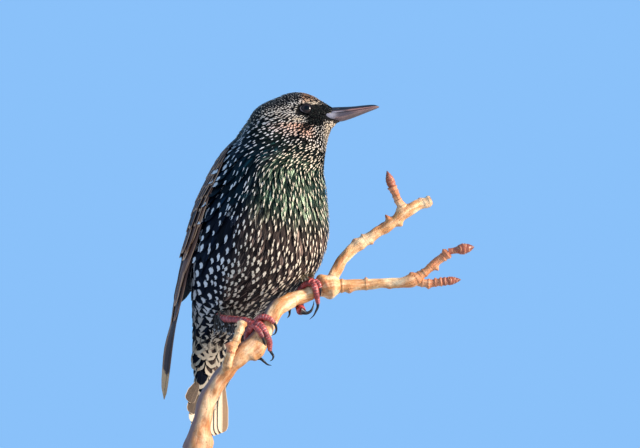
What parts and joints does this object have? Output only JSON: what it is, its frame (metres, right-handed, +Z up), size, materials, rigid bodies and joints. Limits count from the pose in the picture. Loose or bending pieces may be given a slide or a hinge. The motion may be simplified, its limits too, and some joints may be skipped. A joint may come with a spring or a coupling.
{
  "type": "starling",
  "caption": "Life-size songbird with a pointed bill, spotted plumage and folded wings, gripping a short forked twig held upright on a round wooden display stand.",
  "frame": {"origin": "middle of the stand's flat underside, on the floor", "axes": "+Z up, -Y the way the bird's breast faces, +X the bird's left"},
  "size_m": [0.135, 0.1401, 0.1973],
  "materials": {
    "plumage": "glossy black feathers with pale tips",
    "flight_feathers": "dark brown feathers with buff fringes",
    "bill_horn": "dark horn with a paler base",
    "eye_dark": "wet dark brown",
    "leg_skin": "pinkish red scales",
    "claw_horn": "black horn",
    "bark": "smooth orange-tan bark",
    "bud_scale": "red-brown bud scales",
    "stand_wood": "dark satin varnish",
    "stand_steel": "brushed"
  },
  "bodies": {
    "root": {"vent": "plumage", "torso": "plumage", "neck": "plumage", "head": "plumage", "bill_upper": "bill_horn", "bill_lower": "bill_horn", "eye_left": "eye_dark", "eye_right": "eye_dark", "wing_left": "flight_feathers", "wing_right": "flight_feathers", "tail": "flight_feathers", "leg_left": "leg_skin", "leg_right": "leg_skin", "foot_left": "leg_skin", "foot_right": "leg_skin", "claw_left_inner": "claw_horn", "claw_left_middle": "claw_horn", "claw_left_outer": "claw_horn", "claw_left_hind": "claw_horn", "claw_right_inner": "claw_horn", "claw_right_middle": "claw_horn", "claw_right_outer": "claw_horn", "claw_right_hind": "claw_horn", "limb": "bark", "limb_spur": "bark", "knob": "bark", "twig_low": "bark", "twig_fork": "bark", "twig_high": "bark", "twig_spur": "bark", "bud_low": "bud_scale", "bud_fork": "bud_scale", "bud_high": "bud_scale", "stand_base": "stand_wood", "stand_rod": "stand_steel"}
  },
  "joints": []
}
